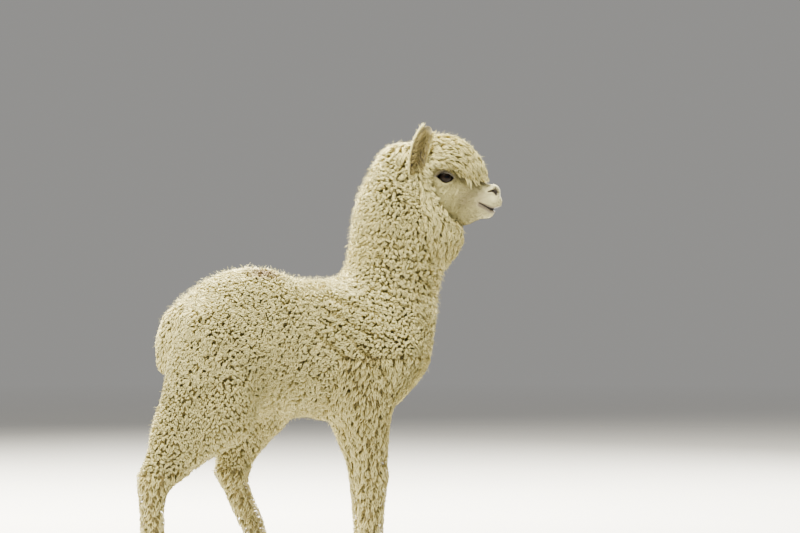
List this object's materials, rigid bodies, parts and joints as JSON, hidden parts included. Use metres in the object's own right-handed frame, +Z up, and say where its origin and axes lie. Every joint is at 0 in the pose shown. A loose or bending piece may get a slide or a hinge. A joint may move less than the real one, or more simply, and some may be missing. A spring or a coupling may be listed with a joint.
{
  "type": "standing alpaca",
  "caption": "Life-size standing alpaca with a woolly neck and topknot, head turned to its right, one hind leg trailing.",
  "frame": {"origin": "on the floor, under the middle of the model's box", "axes": "+X along the trunk towards the chest, +Y to the animal's left, +Z up"},
  "size_m": [1.0668, 0.3856, 1.233],
  "materials": {
    "fleece": "cream crimped wool, matt",
    "face": "short pale hair, matt",
    "ear": "short hair, shaded khaki inside",
    "eye": "wet, near-black brown",
    "nail": "dark worn horn"
  },
  "bodies": {
    "root": {"eye_left": "eye", "ear_left": "ear", "eye_right": "eye", "ear_right": "ear", "face": "face", "throat": "fleece", "topknot": "fleece", "muzzle": "face", "neck": "fleece", "trunk": "fleece", "tail": "fleece", "thigh_left": "fleece", "hind_shank_left": "fleece", "hind_foot_nail_inner_left": "nail", "hind_foot_nail_outer_left": "nail", "hind_foot_left": "face", "upper_foreleg_left": "fleece", "fore_shank_left": "fleece", "fore_foot_nail_inner_left": "nail", "fore_foot_nail_outer_left": "nail", "fore_foot_left": "face", "thigh_right": "fleece", "hind_shank_right": "fleece", "hind_foot_nail_inner_right": "nail", "hind_foot_nail_outer_right": "nail", "hind_foot_right": "face", "upper_foreleg_right": "fleece", "fore_shank_right": "fleece", "fore_foot_nail_inner_right": "nail", "fore_foot_nail_outer_right": "nail", "fore_foot_right": "face"}
  },
  "joints": []
}
